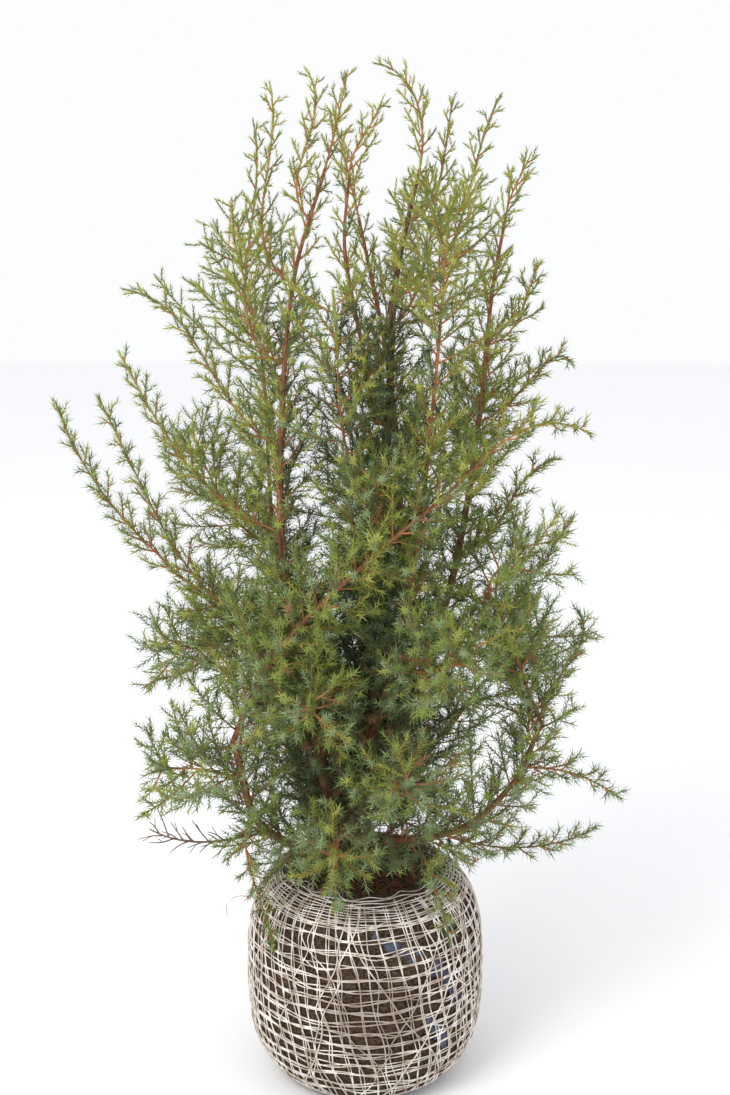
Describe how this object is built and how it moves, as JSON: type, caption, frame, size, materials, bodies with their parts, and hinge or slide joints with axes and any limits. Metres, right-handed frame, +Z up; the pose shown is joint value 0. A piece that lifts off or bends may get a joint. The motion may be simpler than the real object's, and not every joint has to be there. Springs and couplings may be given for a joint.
{
  "type": "root-balled common juniper",
  "caption": "Young common juniper about a metre tall, with an open upright crown of needles, standing on its netted ball of soil.",
  "frame": {"origin": "centre of the flat underside of the root ball, on the floor", "axes": "+Z up along the plant, -Y towards the viewer of the picture, +X to the viewer's right"},
  "size_m": [0.5456, 0.441, 1.0023],
  "materials": {
    "soil": "matte",
    "net_thread": "matte",
    "trunk_bark": "matte",
    "shoot_bark": "matte",
    "dead_twig": "matte",
    "needles": "satin"
  },
  "bodies": {
    "root": {"bough_back_left": "shoot_bark", "bough_back_right": "shoot_bark", "bough_diagonal": "shoot_bark", "bough_far_left": "shoot_bark", "bough_low_left": "shoot_bark", "bough_low_right": "shoot_bark", "bough_right_up": "shoot_bark", "dead_twig": "dead_twig", "foliage_back_foot": "needles", "foliage_back_high": "needles", "foliage_back_left": "needles", "foliage_back_left_top": "needles", "foliage_back_middle": "needles", "foliage_back_right": "needles", "foliage_back_top": "needles", "foliage_bottom_right": "needles", "foliage_diagonal_tip": "needles", "foliage_far_left": "needles", "foliage_front_foot": "needles", "foliage_front_high": "needles", "foliage_front_left": "needles", "foliage_front_low": "needles", "foliage_front_middle": "needles", "foliage_front_right": "needles", "foliage_front_upper": "needles", "foliage_hanging_left": "needles", "foliage_hanging_right": "needles", "foliage_left_arch": "needles", "foliage_left_high": "needles", "foliage_left_middle": "needles", "foliage_left_side": "needles", "foliage_left_spire": "needles", "foliage_left_spire_low": "needles", "foliage_left_upper": "needles", "foliage_low_back_left": "needles", "foliage_low_back_right": "needles", "foliage_low_left": "needles", "foliage_low_right_tip": "needles", "foliage_middle_top": "needles", "foliage_right_arch": "needles", "foliage_right_high": "needles", "foliage_right_inner": "needles", "foliage_right_lower": "needles", "foliage_right_middle": "needles", "foliage_right_out": "needles", "foliage_right_side": "needles", "foliage_right_spire": "needles", "foliage_right_top": "needles", "foliage_top": "needles", "foliage_top_left": "needles", "net": "net_thread", "root_ball": "soil", "stem_back": "shoot_bark", "stem_back_left": "shoot_bark", "stem_front": "shoot_bark", "stem_left": "shoot_bark", "stem_middle": "shoot_bark", "stem_right": "shoot_bark", "trunk": "trunk_bark"}
  },
  "joints": []
}
